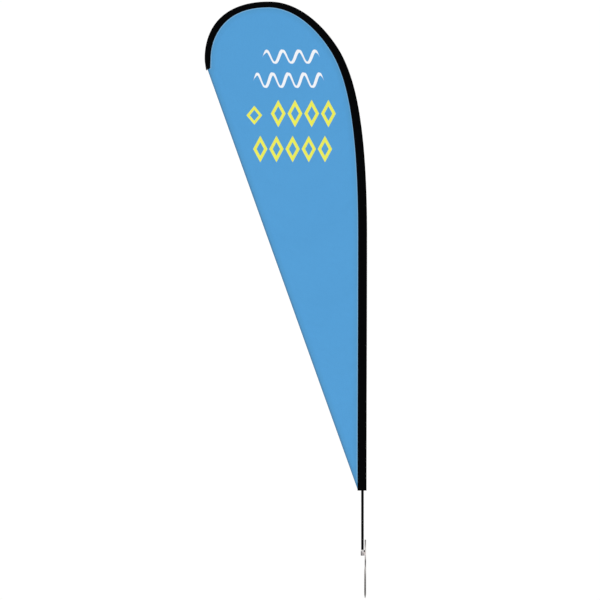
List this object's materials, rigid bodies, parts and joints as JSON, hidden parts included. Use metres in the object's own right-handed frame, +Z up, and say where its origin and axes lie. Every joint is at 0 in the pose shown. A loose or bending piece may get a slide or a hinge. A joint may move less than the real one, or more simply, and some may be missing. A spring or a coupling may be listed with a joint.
{
  "type": "teardrop flag",
  "caption": "Tall teardrop banner: a cloth panel in a sleeve on a bent sectional pole, which turns on a ball-bearing spindle welded to a steel ground spike.",
  "frame": {"origin": "the spindle's axis at the underside of the bearing housing, which rests on the ground", "axes": "+Z up along the spindle and the pole's straight part; the flag lies in the XZ plane and reaches towards -X; +Y across the cloth"},
  "size_m": [1.1319, 0.0254, 4.174],
  "materials": {
    "zinc_steel": "zinc plated, hammered and rubbed",
    "bright_steel": "bright plated",
    "bearing_steel": "ground and polished",
    "cage_brass": "pressed sheet",
    "white_nylon": "plain moulded",
    "black_aluminium": "black anodised",
    "fibreglass": "pultruded, satin",
    "ferrule_metal": "turned",
    "black_plastic": "plain moulded",
    "black_webbing": "woven nylon",
    "black_cloth": "matt woven polyester",
    "blue_cloth": "knitted polyester, dyed through"
  },
  "bodies": {
    "spike_body": {"ground_spike": "zinc_steel", "weld_bead_front": "zinc_steel", "weld_bead_back": "zinc_steel", "bearing_housing": "bright_steel", "lower_bearing_outer_ring": "bearing_steel", "upper_bearing_outer_ring": "bearing_steel", "outer_spacer": "zinc_steel", "housing_circlip": "bearing_steel"},
    "spindle_body": {"spindle": "bright_steel", "lower_bearing_inner_ring": "bearing_steel", "upper_bearing_inner_ring": "bearing_steel", "inner_spacer": "zinc_steel", "spindle_circlip": "bearing_steel", "friction_washer": "white_nylon"},
    "lower_cage_body": {"lower_bearing_cage": "cage_brass", "lower_bearing_ball_1": "bearing_steel", "lower_bearing_ball_2": "bearing_steel", "lower_bearing_ball_3": "bearing_steel", "lower_bearing_ball_4": "bearing_steel", "lower_bearing_ball_5": "bearing_steel", "lower_bearing_ball_6": "bearing_steel", "lower_bearing_ball_7": "bearing_steel"},
    "upper_cage_body": {"upper_bearing_cage": "cage_brass", "upper_bearing_ball_1": "bearing_steel", "upper_bearing_ball_2": "bearing_steel", "upper_bearing_ball_3": "bearing_steel", "upper_bearing_ball_4": "bearing_steel", "upper_bearing_ball_5": "bearing_steel", "upper_bearing_ball_6": "bearing_steel", "upper_bearing_ball_7": "bearing_steel"},
    "flag_body": {"base_bush": "black_plastic", "pole_section_1": "black_aluminium", "pole_section_2": "black_aluminium", "pole_section_3": "fibreglass", "pole_section_4": "fibreglass", "ferrule_1": "ferrule_metal", "ferrule_2": "ferrule_metal", "ferrule_3": "ferrule_metal", "pole_tip_cap": "black_plastic", "tip_pocket": "black_webbing", "pole_sleeve": "black_cloth", "flag_panel": "blue_cloth", "free_edge_hem": "blue_cloth", "cinch_strap": "black_webbing"}
  },
  "joints": [
    {"name": "spindle_spin", "type": "hinge", "parent": "spike_body", "child": "spindle_body", "pos_m": [0, 0, 0], "axis": [0, 0, 1], "continuous": true},
    {"name": "lower_cage_spin", "type": "hinge", "parent": "spike_body", "child": "lower_cage_body", "pos_m": [0, 0, 0], "axis": [0, 0, 1], "continuous": true},
    {"name": "upper_cage_spin", "type": "hinge", "parent": "spike_body", "child": "upper_cage_body", "pos_m": [0, 0, 0], "axis": [0, 0, 1], "continuous": true},
    {"name": "pole_lift", "type": "slide", "parent": "spindle_body", "child": "flag_body", "axis": [0, 0, 1], "range_m": [0, 0.112]}
  ],
  "couplings": [
    {"joint": "lower_cage_spin", "follows": "spindle_spin", "ratio": 0.3889},
    {"joint": "upper_cage_spin", "follows": "spindle_spin", "ratio": 0.3889}
  ]
}
